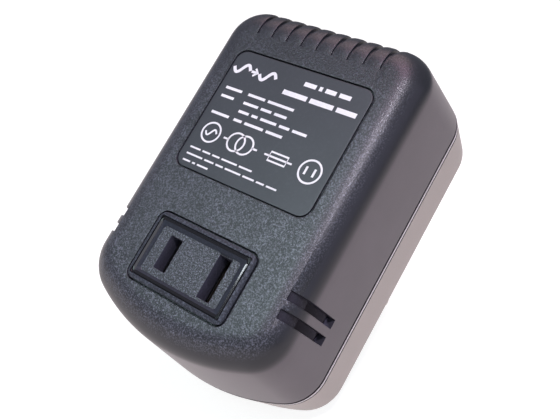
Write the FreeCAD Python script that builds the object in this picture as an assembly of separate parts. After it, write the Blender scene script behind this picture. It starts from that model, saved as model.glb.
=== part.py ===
import FreeCAD
import Part
import math
import os

# Plug-in voltage converter. Millimetres. +Z up, +Y towards the wall, +X to the right seen from the front.
# The origin is the centre of the plug boss's contact face, halfway between the two plug pins.

V = FreeCAD.Vector
UP = V(0, 0, 1)
BACK = V(0, 1, 0)
RIGHT = V(1, 0, 0)
touch = 1e-6

# Transformer: laminations of the E and I form, all in units of one leg width
core_leg = 7.0
core_stack = 20.0
lamination_hole_r = 1.6
core_above_plug = 8.6
coil_gap = 0.55
bobbin_wall = 1.0
bobbin_slack = 0.15
chamber_wall = 0.9
flange_corner_r = 1.5
winding_depth = 5.0
winding_corner_r = 3.0
tape_thickness = 0.3

# Case: room round the transformer, wall, draft and roundings
side_room = 8.8
top_room = 10.65
wall = 2.2
front_depth = 24.9
side_draft = 2.0
top_draft = 3.7
bottom_draft = 7.8
back_draft = 3.8
front_round = 5.9
front_round_steps = 6
back_round = 2.1
back_round_steps = 3
top_corner_r = 8.4
bottom_corner_r = 9.4
bottom_bow_r = 48.0
seam_gap = 0.35
lip_clear = 0.1
lip_length = 2.0
bead_width = 0.6
bead_line_width = 0.2
bead_line_depth = 0.15

# Rating plate in its recess
plate_width = 35.4
plate_height = 29.5
plate_corner_r = 2.6
plate_thickness = 0.35
plate_gap = 0.2
plate_recess = 0.5
plate_below_top = 28.3

# Slits over the top front edge and vents in the sides
slit_count = 9
slit_pitch = 3.96
slit_width = 1.0
slit_depth = 1.3
slit_start_depth = 0.12
slit_below_top = 8.6
slit_reach = 16.0
vent_count = 2
vent_pitch = 3.87
vent_width = 2.0
vent_depth = 1.0
vent_from_side = 4.1
vent_reach = 15.8

# Outlet for flat blades
outlet_core_gap = 2.0
outlet_above_bottom = 19.65
frame_width = 26.1
frame_height = 15.4
frame_corner_r = 1.8
frame_gap = 0.3
frame_proud = 0.6
frame_land = 1.25
frame_edge_r = 0.5
frame_edge_steps = 3
floor_width = 20.4
floor_height = 10.9
floor_corner_r = 0.9
floor_depth = 1.0
flange_margin = 1.3
flange_thickness = 1.5
blade_spacing = 12.7
slot_width = 3.2
short_slot = 7.45
long_slot = 9.45
slot_chamfer = 0.3

# Contact carrier behind the outlet
carrier_width = 25.0
carrier_height = 12.6
carrier_depth = 14.0
carrier_back = 1.5
cell_width = 4.6
cell_slack = 0.2
ear_thickness = 2.0
ear_x = 17.2
ear_r = 2.6
ear_setback = 2.5
outlet_screw_r = 1.1
outlet_screw_head_r = 2.0
outlet_screw_head = 1.3
outlet_screw_bite = 4.0

# Spring contacts, folded from strip
strip = 0.5
leaf_half_gap = 1.3
throat_half_gap = 0.6
mouth_half_gap = 1.3
leaf_length = 11.4
tail_height = 3.0
tail_reach = 2.5

# Case screws, their bosses and wells
screw_inset_x = 7.2
top_screw_inset = 7.05
bottom_screw_rise = 11.0
screw_r = 1.45
screw_clear = 0.25
screw_head_r = 2.5
screw_head = 1.9
screw_bite = 8.0
screw_recess_r = 1.4
screw_recess_width = 0.6
screw_recess = 1.1
screw_dome_steps = 3
boss_r = 2.9
well_r = 2.75
well_wall = 1.0
seat_thickness = 2.5
web_thickness = 1.2

# Posts that carry the core
post_overlap = 2.8
post_lip = 1.4
post_grip = 4.0
post_clear = 0.2

# Plug boss, pins and what holds them
boss_height = 17.0
boss_width = 35.3
boss_tall = 13.7
boss_chamfer = 4.6
boss_edge_r = 1.2
boss_wall = 2.0
boss_end = 3.0
pin_spacing = 19.0
pin_r = 2.0
pin_length = 19.0
pin_core_r = 1.5
pin_clear = 0.1
pin_tip_r = 1.5
pin_tip_steps = 4
sleeve_length = 10.0
sleeve_r = 1.8
shoulder_r = 3.2
shoulder_length = 1.5
tail_r = 1.25
tail_length = 6.0
retainer_thickness = 4.0
retainer_slack = 0.15
stake_x = 3.4
stake_r = 1.1
stake_head_r = 1.9
stake_head = 0.8

# Thermal fuse and inner leads
fuse_r = 1.9
fuse_length = 10.0
fuse_neck = 1.0
fuse_wire_r = 0.5
fuse_wire = 1.5
fuse_x = 13.6
fuse_z = 11.0
fuse_seat_gap = 0.2
lead_r = 0.65
lead_hole_clear = 0.15
lead_bend_share = 0.45
lead_exit_top = 10.5
lead_exit_middle = 6.0
lead_exit_bottom = 11.0
lead_turn_x = 13.2
lead_short_turn_x = 12.6
lead_bottom_z = -16.0
lead_bottom_x = 8.6
lead_side_z = -8.6
lead_side_y = -23.4
lead_bottom_y = -27.5

# Places worked out from the sizes above
core_half_z = 3 * core_leg
core_half_x = 2.5 * core_leg
window_half_x = 1.5 * core_leg
coil_half_y = core_stack / 2 + core_leg
coil_half_z = 2 * core_leg
core_z = core_above_plug
half_width = core_half_x + side_room
top_z = core_z + core_half_z + top_room
outlet_z = core_z - core_half_z - outlet_core_gap - carrier_height / 2
bottom_z = outlet_z - outlet_above_bottom
case_depth = 2 * (wall + coil_gap + coil_half_y)
back_y = -boss_height
front_y = back_y - case_depth
split_y = front_y + front_depth
rim_y = split_y - seam_gap
core_y = (front_y + back_y) / 2
core_front_y = core_y - core_stack / 2
core_back_y = core_y + core_stack / 2
inner_front_y = front_y + wall
inner_back_y = back_y - wall
plate_z = top_z - plate_below_top
carrier_front_y = inner_front_y + flange_thickness
carrier_back_y = carrier_front_y + carrier_depth
ear_y = carrier_front_y + ear_setback
slots = {"narrow": (-blade_spacing / 2, short_slot), "wide": (blade_spacing / 2, long_slot)}
screw_x = half_width - screw_inset_x
screw_places = [(sx * screw_x, z) for sx in (-1, 1)
                for z in (top_z - top_screw_inset, bottom_z + bottom_screw_rise)]
pin_x = pin_spacing / 2
retainer_back_y = -boss_end - retainer_thickness
tail_end_y = -boss_end - shoulder_length - tail_length
contact_end_y = carrier_back_y + tail_reach
chamber_x = window_half_x - bobbin_slack - bobbin_wall
lead_exit_y = coil_half_y - bobbin_slack - 2 * lead_r - lead_hole_clear
fuse_y = core_back_y + fuse_seat_gap + fuse_r


def box(x0, x1, y0, y1, z0, z1):
    """Block between two corners."""
    return Part.makeBox(x1 - x0, y1 - y0, z1 - z0, V(x0, y0, z0))


def rod(radius, x, z, y0, y1):
    """Round bar along Y."""
    return Part.makeCylinder(radius, y1 - y0, V(x, y0, z), BACK)


def fuse_all(shapes):
    """One solid from solids that meet."""
    return shapes[0].multiFuse(shapes[1:]).removeSplitter()


def arc_between(centre, radius, angle0, angle1, y):
    """Arc in the plane at depth y, angles in radians from +X towards +Z."""
    def at(a):
        return V(centre[0] + radius * math.cos(a), y, centre[1] + radius * math.sin(a))
    return Part.Arc(at(angle0), at((angle0 + angle1) / 2), at(angle1)).toShape()


def rounded_rectangle(width, height, radius, z, y, x=0.0):
    """Closed wire in the plane at depth y, centred at x, z."""
    w = width / 2
    h = height / 2
    edges = []
    for turn, (sx, sz) in enumerate(((1, 1), (-1, 1), (-1, -1), (1, -1))):
        centre = (x + sx * (w - radius), z + sz * (h - radius))
        edges.append(arc_between(centre, radius, turn * math.pi / 2, (turn + 1) * math.pi / 2, y))
    loop = []
    for i, edge in enumerate(edges):
        loop.append(edge)
        start = edge.valueAt(edge.LastParameter)
        end = edges[(i + 1) % 4].valueAt(edges[(i + 1) % 4].FirstParameter)
        loop.append(Part.makeLine(start, end))
    return Part.Wire(loop)


def rounded_block(width, height, radius, z, y0, y1, x=0.0):
    """Rounded rectangle pushed from depth y0 to y1."""
    face = Part.Face(rounded_rectangle(width, height, radius, z, y0, x))
    return face.extrude(V(0, y1 - y0, 0))


def drafts_at(y):
    """How far side, top and bottom have drawn in at depth y."""
    if y <= split_y:
        run = split_y - y
        return [run * math.tan(math.radians(a)) for a in (side_draft, top_draft, bottom_draft)]
    return [(y - split_y) * math.tan(math.radians(back_draft))] * 3


def case_outline(y, inset):
    """Outline of the case at depth y: flat top, straight sides, bowed bottom, drawn in by inset."""
    side, top, bottom = drafts_at(y)
    w = half_width - side - inset
    zt = top_z - top - inset
    zb = bottom_z + bottom + inset
    rt = top_corner_r - inset
    rb = bottom_corner_r - inset
    bow = bottom_bow_r - inset
    bow_z = zb + bow
    corner_x = w - rb
    corner_z = bow_z - math.sqrt((bow - rb) ** 2 - corner_x ** 2)
    meet = math.atan2(corner_z - bow_z, corner_x)
    quarter = math.pi / 2
    right_top = arc_between((w - rt, zt - rt), rt, quarter, 0, y)
    right_bottom = arc_between((corner_x, corner_z), rb, 0, meet, y)
    bottom_arc = arc_between((0, bow_z), bow, meet, -math.pi - meet, y)
    left_bottom = arc_between((-corner_x, corner_z), rb, -math.pi - meet, -math.pi, y)
    left_top = arc_between((rt - w, zt - rt), rt, math.pi, quarter, y)
    return Part.Wire([
        Part.makeLine(V(rt - w, y, zt), V(w - rt, y, zt)), right_top,
        Part.makeLine(V(w, y, zt - rt), V(w, y, corner_z)), right_bottom, bottom_arc, left_bottom,
        Part.makeLine(V(-w, y, corner_z), V(-w, y, zt - rt)), left_top])


def case_form(y0, y1, inset):
    """Drafted block of the case's outline from depth y0 to y1, drawn in by inset all round."""
    return Part.makeLoft([case_outline(y0, inset), case_outline(y1, inset)], True, True)


def quarter_steps(radius, steps):
    """Points on a quarter circle: how far in from the end, and how much further drawn in."""
    turns = [math.pi / 2 * i / steps for i in range(steps + 1)]
    return [(radius * (1 - math.cos(a)), radius * (1 - math.sin(a))) for a in turns]


def front_form(inset, end_y):
    """Front half of the case drawn in by inset on every side, with its rounded front edge."""
    steps = quarter_steps(front_round - inset, front_round_steps)
    outlines = [case_outline(front_y + inset + dy, inset + draw) for dy, draw in steps]
    return Part.makeLoft(outlines + [case_outline(end_y, inset)], True, True)


def back_form(inset, start_y):
    """Rear half of the case drawn in by inset, with its rounded rear edge."""
    steps = quarter_steps(max(back_round - inset, back_round / 4), back_round_steps)
    outlines = [case_outline(back_y - inset - dy, inset + draw) for dy, draw in steps]
    return Part.makeLoft(outlines + [case_outline(start_y, inset)], True, True)


def bevel_end(shape, y, size):
    """Bevel the edges that lie in the plane at depth y."""
    edges = [e for e in shape.Edges if all(abs(v.Y - y) < touch for v in e.Vertexes)]
    return shape.makeChamfer(size, edges).Solids[0]


def surface_groove(region, depth, face_depth):
    """The part of region within depth of the shell's sides, and within face_depth of its front face."""
    floor = front_form(depth, split_y)
    floor.translate(V(0, face_depth - depth, 0))
    return region.cut(floor)


def top_slits():
    """Slits that start on the face, wrap over the top front edge and open the top wall."""
    start_z = top_z - slit_below_top
    end_y = front_y + slit_reach
    cuts = []
    for i in range(slit_count):
        x = (i - (slit_count - 1) / 2) * slit_pitch
        x0 = x - slit_width / 2
        x1 = x + slit_width / 2
        groove = surface_groove(box(x0, x1, front_y - wall, end_y, start_z, top_z + wall),
                                slit_depth, slit_start_depth)
        through = box(x0, x1, front_y + front_round, end_y, top_z - top_corner_r, top_z + wall)
        cuts += [groove, through]
    return cuts


def side_vents():
    """Slits that start on the face, wrap round both sides and open the side walls."""
    start_x = half_width - vent_from_side
    end_y = front_y + vent_reach
    cuts = []
    for side in (-1, 1):
        for i in range(vent_count):
            z = outlet_z + i * vent_pitch
            span = sorted((side * start_x, side * (half_width + wall)))
            z0 = z - vent_width / 2
            z1 = z + vent_width / 2
            groove = surface_groove(box(*span, front_y - wall, end_y, z0, z1), vent_depth, vent_depth)
            span = sorted((side * (half_width - 2 * wall), side * (half_width + wall)))
            cuts += [groove, box(*span, front_y + front_round, end_y, z0, z1)]
    return cuts


def core_block(clear):
    """Envelope of the laminated core, grown sideways by clear."""
    return box(-core_half_x - clear, core_half_x + clear, core_front_y, core_back_y,
               core_z - core_half_z - clear, core_z + core_half_z + clear)


def core_posts(y0, y1):
    """Four corner posts from depth y0 to y1 that seat the core's corners and grip its edges."""
    posts = []
    for sx in (-1, 1):
        for sz in (-1, 1):
            x = sorted((sx * (core_half_x - post_overlap), sx * (core_half_x + post_lip)))
            z = sorted((sz * (core_half_z - post_overlap), sz * (core_half_z + post_lip)))
            posts.append(box(*x, y0, y1, core_z + z[0], core_z + z[1]).cut(core_block(post_clear)))
    return posts


def webs(y0, y1):
    """Webs that tie each screw boss to the nearest side wall."""
    ties = []
    for x, z in screw_places:
        span = sorted((x, math.copysign(half_width, x)))
        ties.append(box(*span, y0, y1, z - web_thickness / 2, z + web_thickness / 2))
    return ties


def front_shell():
    """Deep front half: drafted shell, plate recess, outlet opening, slits, vents, bosses and posts."""
    outer = front_form(0, rim_y)
    inner = front_form(wall, split_y)
    rebate = case_form(rim_y - lip_length, split_y, wall / 2)
    inside = [rod(boss_r, x, z, inner_front_y - wall / 2, split_y) for x, z in screw_places]
    inside += webs(inner_front_y - wall / 2, rim_y - lip_length)
    inside += core_posts(inner_front_y - wall / 2, core_front_y + post_grip)
    inside += [rod(ear_r, sx * ear_x, outlet_z, inner_front_y - wall / 2, ear_y) for sx in (-1, 1)]
    shell = outer.cut(inner).cut(rebate)
    skin = front_form(wall / 2, split_y)
    shell = fuse_all([shell] + [s.common(skin) for s in inside])
    cuts = [rounded_block(plate_width + 2 * plate_gap, plate_height + 2 * plate_gap,
                          plate_corner_r + plate_gap, plate_z, front_y - wall, front_y + plate_recess),
            rounded_block(frame_width + 2 * frame_gap, frame_height + 2 * frame_gap,
                          frame_corner_r + frame_gap, outlet_z, front_y - wall, inner_front_y + wall / 2)]
    cuts += [rod(screw_r, x, z, split_y - screw_bite - screw_r, split_y + wall) for x, z in screw_places]
    cuts += [rod(outlet_screw_r, sx * ear_x, outlet_z, ear_y - outlet_screw_bite - outlet_screw_r / 2,
                 ear_y + wall) for sx in (-1, 1)]
    return shell.cut(cuts + top_slits() + side_vents())


def boss_outline(inset, y):
    """Outline of the plug boss: a long rectangle with cut corners, drawn in by inset."""
    w = boss_width / 2 - inset
    h = boss_tall / 2 - inset
    c = boss_chamfer - inset * (2 - math.sqrt(2))
    points = [(w, c - h), (w, h - c), (w - c, h), (c - w, h), (-w, h - c), (-w, c - h), (c - w, -h),
              (w - c, -h), (w, c - h)]
    return Part.makePolygon([V(x, y, z) for x, z in points])


def plug_boss():
    """Hollow boss that reaches into a recessed wall socket, with its edges rounded."""
    outer = Part.Face(boss_outline(0, back_y - wall / 2)).extrude(V(0, boss_height + wall / 2, 0))
    along = [e for e in outer.Edges if abs(e.Vertexes[0].Y - e.Vertexes[1].Y) > boss_height / 2]
    outer = outer.makeFillet(boss_edge_r, along)
    return bevel_end(outer, 0, boss_edge_r / 2)


def boss_cavity():
    """Room inside the plug boss, open to the case."""
    face = Part.Face(boss_outline(boss_wall, inner_back_y - wall))
    return face.extrude(V(0, -inner_back_y + wall - boss_end, 0))


def heat_stakes():
    """Posts on the boss's end wall, each melted over into a head that holds the retainer."""
    stakes = []
    for sx in (-1, 1):
        x = sx * stake_x
        stakes.append(rod(stake_r, x, 0, retainer_back_y, -boss_end / 2))
        head = rod(stake_head_r, x, 0, retainer_back_y - stake_head, retainer_back_y)
        stakes.append(bevel_end(head, retainer_back_y - stake_head, stake_head / 2))
    return stakes


def bead_line():
    """Fine groove round the rear half, a bead's width behind the parting line."""
    y0 = split_y + bead_width
    y1 = y0 + bead_line_width
    return case_form(y0, y1, -wall).cut(case_form(y0, y1, bead_line_depth))


def back_cover():
    """Rear half: shell with lip, plug boss, screw wells, posts that press on the core."""
    outer = back_form(0, split_y)
    inner = back_form(wall, split_y)
    lip = case_form(rim_y - lip_length, split_y, wall / 2 + lip_clear)
    lip = lip.cut(case_form(rim_y - lip_length, split_y, wall))
    seat_y = split_y + seat_thickness
    wells = [rod(well_r + well_wall, x, z, split_y, back_y - wall / 2) for x, z in screw_places]
    posts = core_posts(core_back_y - post_grip, back_y - wall / 2)
    skin = back_form(wall / 2, split_y)
    inside = [s.common(skin) for s in wells + posts]
    cover = fuse_all([outer.cut(inner), lip, plug_boss()] + inside)
    cover = cover.cut([boss_cavity(), bead_line()])
    cover = fuse_all([cover] + heat_stakes())
    cuts = []
    for x, z in screw_places:
        cuts += [rod(well_r, x, z, seat_y, back_y + wall), rod(screw_r + screw_clear, x, z, rim_y, seat_y)]
    cuts += [rod(sleeve_r + pin_clear, sx * pin_x, 0, -boss_end - wall, wall) for sx in (-1, 1)]
    return cover.cut(cuts)


def rating_plate():
    """Thin plate lying in the recess of the front."""
    y1 = front_y + plate_recess
    return rounded_block(plate_width, plate_height, plate_corner_r, plate_z, y1 - plate_thickness, y1)


def slot_cutters(y0, y1, grow=0.0):
    """Blocks through the two blade slots, grown by grow on every side."""
    return [box(x - slot_width / 2 - grow, x + slot_width / 2 + grow, y0, y1,
                outlet_z - length / 2 - grow, outlet_z + length / 2 + grow)
            for x, length in slots.values()]


def slot_mouths(floor_y):
    """Bevelled mouths of the two slots at the tray's floor."""
    mouths = []
    for x, length in slots.values():
        def loop(grow, y):
            w = slot_width / 2 + grow
            h = length / 2 + grow
            return Part.makePolygon([V(x + a * w, y, outlet_z + b * h)
                                     for a, b in ((1, 1), (-1, 1), (-1, -1), (1, -1), (1, 1))])
        wide = loop(slot_chamfer, floor_y)
        mouths.append(Part.makeLoft([wide, loop(0, floor_y + slot_chamfer)], True, True))
    return mouths


def outlet_insert():
    """Framed tray: rounded frame, sloped walls down to a floor with two slots, flange behind."""
    top_y = front_y - frame_proud
    floor_y = top_y + floor_depth
    steps = quarter_steps(frame_edge_r, frame_edge_steps) + [(carrier_front_y - top_y, 0)]
    frame = Part.makeLoft([rounded_rectangle(frame_width - 2 * draw, frame_height - 2 * draw,
                                             frame_corner_r - draw, outlet_z, top_y + dy)
                           for dy, draw in steps], True, True)
    flange = rounded_block(frame_width + 2 * flange_margin, frame_height + 2 * flange_margin,
                           frame_corner_r + flange_margin, outlet_z, inner_front_y, carrier_front_y)
    rim = rounded_rectangle(frame_width - 2 * frame_land, frame_height - 2 * frame_land,
                            frame_corner_r - frame_edge_r, outlet_z, top_y)
    floor = rounded_rectangle(floor_width, floor_height, floor_corner_r, outlet_z, floor_y)
    tray = Part.makeLoft([rim, floor], True, True)
    body = fuse_all([frame, flange])
    return body.cut([tray] + slot_cutters(floor_y, carrier_front_y + wall) + slot_mouths(floor_y))


def ear_plate():
    """Bar across the carrier with a rounded ear at each end."""
    y1 = ear_y + ear_thickness
    bar = box(-ear_x, ear_x, ear_y, y1, outlet_z - ear_r, outlet_z + ear_r)
    return fuse_all([bar] + [rod(ear_r, sx * ear_x, outlet_z, ear_y, y1) for sx in (-1, 1)])


def outlet_rear_cap():
    """Contact carrier: box with one open cell per contact, a slit for each tail and two screw ears."""
    body = rounded_block(carrier_width, carrier_height, frame_corner_r, outlet_z,
                         carrier_front_y, carrier_back_y)
    body = fuse_all([body, ear_plate()])
    cuts = []
    for x, length in slots.values():
        half = contact_height(length) / 2 + cell_slack
        cuts.append(box(x - cell_width / 2, x + cell_width / 2, carrier_front_y,
                        carrier_back_y - carrier_back, outlet_z - half, outlet_z + half))
        tail = strip / 2 + cell_slack
        cuts.append(box(x - tail, x + tail, carrier_front_y, carrier_back_y,
                        outlet_z - tail_height / 2 - cell_slack, outlet_z + tail_height / 2 + cell_slack))
    cuts += [rod(outlet_screw_r + screw_clear, sx * ear_x, outlet_z, ear_y, ear_y + ear_thickness)
             for sx in (-1, 1)]
    return body.cut(cuts)


def contact_height(slot_length):
    """Height of the spring contact behind a slot of this length."""
    return slot_length - 2 * cell_slack


def contact(name):
    """Folded strip: a base, two leaves that close to a throat and flare to a mouth, and a solder tail."""
    x, length = slots[name]
    height = contact_height(length)
    base_y = carrier_back_y - carrier_back
    throat_y = base_y - leaf_length + 2 * strip
    bend_y = base_y - leaf_length / 2
    mouth_y = base_y - leaf_length
    half = [(0, base_y - strip), (leaf_half_gap, base_y - strip), (leaf_half_gap, bend_y),
            (throat_half_gap, throat_y), (mouth_half_gap, mouth_y), (mouth_half_gap + strip, mouth_y),
            (throat_half_gap + strip, throat_y + strip / 2), (leaf_half_gap + strip, bend_y + strip / 2),
            (leaf_half_gap + strip, base_y), (0, base_y)]
    outline = half + [(-px, py) for px, py in reversed(half[1:-1])] + [half[0]]
    face = Part.Face(Part.makePolygon([V(x + px, py, outlet_z - height / 2) for px, py in outline]))
    clip = face.extrude(V(0, 0, height))
    corners = [e for e in clip.Edges if e.Length > height - touch and abs(e.Vertexes[0].Y - base_y) < touch]
    clip = clip.makeFillet(strip, corners)
    tail = box(x - strip / 2, x + strip / 2, base_y - strip / 2, contact_end_y,
               outlet_z - tail_height / 2, outlet_z + tail_height / 2)
    return fuse_all([clip, tail])


def turned(x, z, profile):
    """Solid turned about the line through x, z along Y, from radius and depth pairs."""
    ends = [(0, profile[0][1])] + profile + [(0, profile[-1][1]), (0, profile[0][1])]
    face = Part.Face(Part.makePolygon([V(x + r, y, z) for r, y in ends]))
    return face.revolve(V(x, 0, z), BACK, 360)


def pan_screw(x, z, seat_y, radius, reach, head_r, head):
    """Pan-head screw along -Y with its head's underside at seat_y."""
    dome = [(head_r - draw, seat_y + head - dy) for dy, draw in quarter_steps(head / 2, screw_dome_steps)]
    tip_y = seat_y - reach
    return turned(x, z, [(radius / 2, tip_y), (radius, tip_y + radius), (radius, seat_y), (head_r, seat_y)]
                  + dome[::-1])


def case_screws():
    """Four screws in the wells of the rear half, each with a cross recess."""
    seat_y = split_y + seat_thickness
    top_y = seat_y + screw_head
    screws = []
    for x, z in screw_places:
        screw = pan_screw(x, z, seat_y, screw_r, seat_thickness + screw_bite, screw_head_r, screw_head)
        a = screw_recess_r
        b = screw_recess_width / 2
        cross = [box(x - a, x + a, top_y - screw_recess, top_y, z - b, z + b),
                 box(x - b, x + b, top_y - screw_recess, top_y, z - a, z + a)]
        screws.append(screw.cut(cross))
    return Part.makeCompound(screws)


def outlet_screws():
    """Two screws through the carrier's ears into the front shell."""
    seat_y = ear_y + ear_thickness
    reach = ear_thickness + outlet_screw_bite
    return Part.makeCompound([pan_screw(sx * ear_x, outlet_z, seat_y, outlet_screw_r, reach,
                                        outlet_screw_head_r, outlet_screw_head) for sx in (-1, 1)])


def plug_pin(side):
    """Turned pin: solder tail, shoulder behind the end wall, thin root under the sleeve, round tip."""
    shoulder_y = -boss_end - shoulder_length
    tip = [(pin_r - draw, pin_length - dy) for dy, draw in quarter_steps(pin_tip_r, pin_tip_steps)]
    return turned(side * pin_x, 0, [
        (tail_r, tail_end_y), (tail_r, shoulder_y), (shoulder_r, shoulder_y), (shoulder_r, -boss_end),
        (pin_core_r, -boss_end), (pin_core_r, sleeve_length), (pin_r, sleeve_length)] + tip[::-1])


def pin_sleeve(side):
    """Insulating sleeve on the root half of a pin, let through the boss's end wall."""
    x = side * pin_x
    return rod(sleeve_r, x, 0, -boss_end, sleeve_length).cut(rod(pin_core_r, x, 0, -boss_end, sleeve_length))


def pin_retainer():
    """Plate inside the boss that traps the pin shoulders against the end wall."""
    face = Part.Face(boss_outline(boss_wall + retainer_slack, retainer_back_y))
    plate = face.extrude(V(0, retainer_thickness, 0))
    cuts = []
    for sx in (-1, 1):
        cuts += [rod(shoulder_r + pin_clear, sx * pin_x, 0, -boss_end - shoulder_length, -boss_end),
                 rod(tail_r + pin_clear, sx * pin_x, 0, retainer_back_y, -boss_end),
                 rod(stake_r + pin_clear, sx * stake_x, 0, retainer_back_y, -boss_end)]
    return plate.cut(cuts)


def lamination_holes(x):
    """Clamp holes of the laminations at x, one near each end."""
    reach = core_half_z - core_leg / 2
    return [rod(lamination_hole_r, x, core_z + sz * reach, core_front_y, core_back_y) for sz in (-1, 1)]


def core_e_stack():
    """Stack of E laminations: back bar at the left, three legs towards +X."""
    block = box(-core_half_x, window_half_x, core_front_y, core_back_y,
                core_z - core_half_z, core_z + core_half_z)
    cuts = lamination_holes(core_leg / 2 - core_half_x)
    for sz in (-1, 1):
        z = sorted((sz * core_leg, sz * 2 * core_leg))
        cuts.append(box(-window_half_x, window_half_x, core_front_y, core_back_y,
                        core_z + z[0], core_z + z[1]))
    return block.cut(cuts)


def core_i_stack():
    """Stack of I laminations that closes the three legs."""
    block = box(window_half_x, core_half_x, core_front_y, core_back_y,
                core_z - core_half_z, core_z + core_half_z)
    return block.cut(lamination_holes(core_half_x - core_leg / 2))


def ring_form(x0, x1, half_y, half_z, radius):
    """Rounded block along X round the core's middle leg."""
    form = box(x0, x1, core_y - half_y, core_y + half_y, core_z - half_z, core_z + half_z)
    along = [e for e in form.Edges if abs(e.Vertexes[0].X - e.Vertexes[1].X) > (x1 - x0) / 2]
    return form.makeFillet(radius, along)


def bobbin():
    """Coil former: square tube on the middle leg, two end flanges and a dividing flange, lead holes."""
    end_x = window_half_x - bobbin_slack
    tube_y = core_stack / 2 + bobbin_slack + bobbin_wall
    tube_z = core_leg + bobbin_slack + bobbin_wall
    flange_y = coil_half_y - bobbin_slack
    flange_z = coil_half_z - bobbin_slack
    spans = [(-end_x, -chamber_x), (-chamber_wall / 2, chamber_wall / 2), (chamber_x, end_x)]
    parts = [box(-end_x, end_x, core_y - tube_y, core_y + tube_y, core_z - tube_z, core_z + tube_z)]
    parts += [ring_form(*span, flange_y, flange_z, flange_corner_r) for span in spans]
    bore = box(-end_x, end_x, core_y - tube_y + bobbin_wall, core_y + tube_y - bobbin_wall,
               core_z - tube_z + bobbin_wall, core_z + tube_z - bobbin_wall)
    holes = []
    for side, dz in lead_exits.values():
        x = side * chamber_x
        start = V(min(x, side * end_x), core_y + lead_exit_y, core_z + dz)
        holes.append(Part.makeCylinder(lead_r + lead_hole_clear, bobbin_wall, start, RIGHT))
    return fuse_all(parts).cut([bore] + holes)


def wound_ring(side, inner, outer):
    """Ring filling one chamber between two depths measured from the bobbin's tube."""
    x = sorted((side * chamber_wall / 2, side * chamber_x))
    tube_y = core_stack / 2 + bobbin_slack + bobbin_wall
    tube_z = core_leg + bobbin_slack + bobbin_wall
    full = ring_form(*x, tube_y + outer, tube_z + outer, winding_corner_r + outer - winding_depth)
    if inner == 0:
        return full.cut(box(*x, core_y - tube_y, core_y + tube_y, core_z - tube_z, core_z + tube_z))
    return full.cut(ring_form(*x, tube_y + inner, tube_z + inner, winding_corner_r))


def winding(side):
    """Enamelled wire packed in one chamber of the bobbin."""
    return wound_ring(side, 0, winding_depth)


def winding_tape(side):
    """Polyester wrap over one winding."""
    return wound_ring(side, winding_depth, winding_depth + tape_thickness)


def thermal_fuse():
    """Axial fuse: round body with coned ends and short wires, lying on the core beside the coil."""
    half = fuse_length / 2
    profile = [(0, -half - fuse_wire), (fuse_wire_r, -half - fuse_wire), (fuse_wire_r, -half),
               (fuse_r, fuse_neck - half), (fuse_r, half - fuse_neck), (fuse_wire_r, half),
               (fuse_wire_r, half + fuse_wire), (0, half + fuse_wire), (0, -half - fuse_wire)]
    face = Part.Face(Part.makePolygon([V(-fuse_x + r, fuse_y, fuse_z + h) for r, h in profile]))
    return face.revolve(V(-fuse_x, fuse_y, fuse_z), UP, 360)


def lead_route(points):
    """Straight runs joined by tangent arcs as large as the runs allow; prints the radii."""
    edges = []
    radii = []
    start = points[0]
    for before, corner, after in zip(points, points[1:], points[2:]):
        into = (corner - before).normalize()
        out = (after - corner).normalize()
        half_turn = into.getAngle(out) / 2
        cut = lead_bend_share * min((corner - before).Length, (after - corner).Length)
        radii.append(round(cut / math.tan(half_turn), 2))
        p0 = corner - into * cut
        p1 = corner + out * cut
        inward = (out - into).normalize()
        sagitta = radii[-1] * (1 / math.cos(half_turn) - 1)
        edges += [Part.makeLine(start, p0), Part.Arc(p0, corner + inward * sagitta, p1).toShape()]
        start = p1
    edges.append(Part.makeLine(start, points[-1]))
    return Part.Wire(edges), radii


def lead(name):
    """Insulated wire swept along its route."""
    points = [V(*p) for p in lead_points[name]]
    route, radii = lead_route(points)
    ring = Part.Wire([Part.makeCircle(lead_r, points[0], points[1] - points[0])])
    tube = route.makePipeShell([ring], True, False)
    expected = math.pi * lead_r ** 2 * route.Length
    print(name, "bend radii", radii, "volume ratio", round(tube.Volume / expected, 4))
    return tube


# Where each lead leaves the coil: side of the bobbin and height from the coil's middle
lead_exits = {"fuse": (-1, lead_exit_top), "tap": (-1, -lead_exit_bottom),
              "neutral": (1, -lead_exit_middle), "outlet": (1, -lead_exit_bottom)}


def coil_point(name):
    """End of a lead on its winding."""
    side, dz = lead_exits[name]
    return (side * chamber_x, core_y + lead_exit_y, core_z + dz)


def coil_side(name, x):
    """Point straight out from a lead's exit, at this distance from the middle."""
    side, dz = lead_exits[name]
    return (side * x, core_y + lead_exit_y, core_z + dz)


def outlet_route(exit_name, slot_name):
    """Route from the coil round its lower corner to the tail of an outlet contact."""
    side = lead_exits[exit_name][0]
    x = slots[slot_name][0]
    return [coil_point(exit_name), coil_side(exit_name, lead_turn_x),
            (side * lead_short_turn_x, lead_side_y, lead_side_z),
            (side * lead_bottom_x, lead_bottom_y, lead_bottom_z),
            (x, split_y, outlet_z), (x, contact_end_y, outlet_z)]


fuse_reach = fuse_length / 2 + fuse_wire
lead_points = {
    "lead_line": [(-pin_x, tail_end_y, 0), (-pin_x, -14.2, 0), (-fuse_x, -20.0, 0.2),
                  (-fuse_x, fuse_y, 0.6), (-fuse_x, fuse_y, fuse_z - fuse_reach)],
    "lead_fuse": [(-fuse_x, fuse_y, fuse_z + fuse_reach), (-fuse_x, fuse_y, 19.4),
                  coil_side("fuse", lead_short_turn_x), coil_point("fuse")],
    "lead_neutral": [(pin_x, tail_end_y, 0), (pin_x, -13.4, 0), (lead_turn_x, -17.4, 1.0),
                     coil_side("neutral", fuse_x), coil_point("neutral")],
    "lead_tap": outlet_route("tap", "narrow"),
    "lead_outlet_neutral": outlet_route("outlet", "wide"),
}

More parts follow.
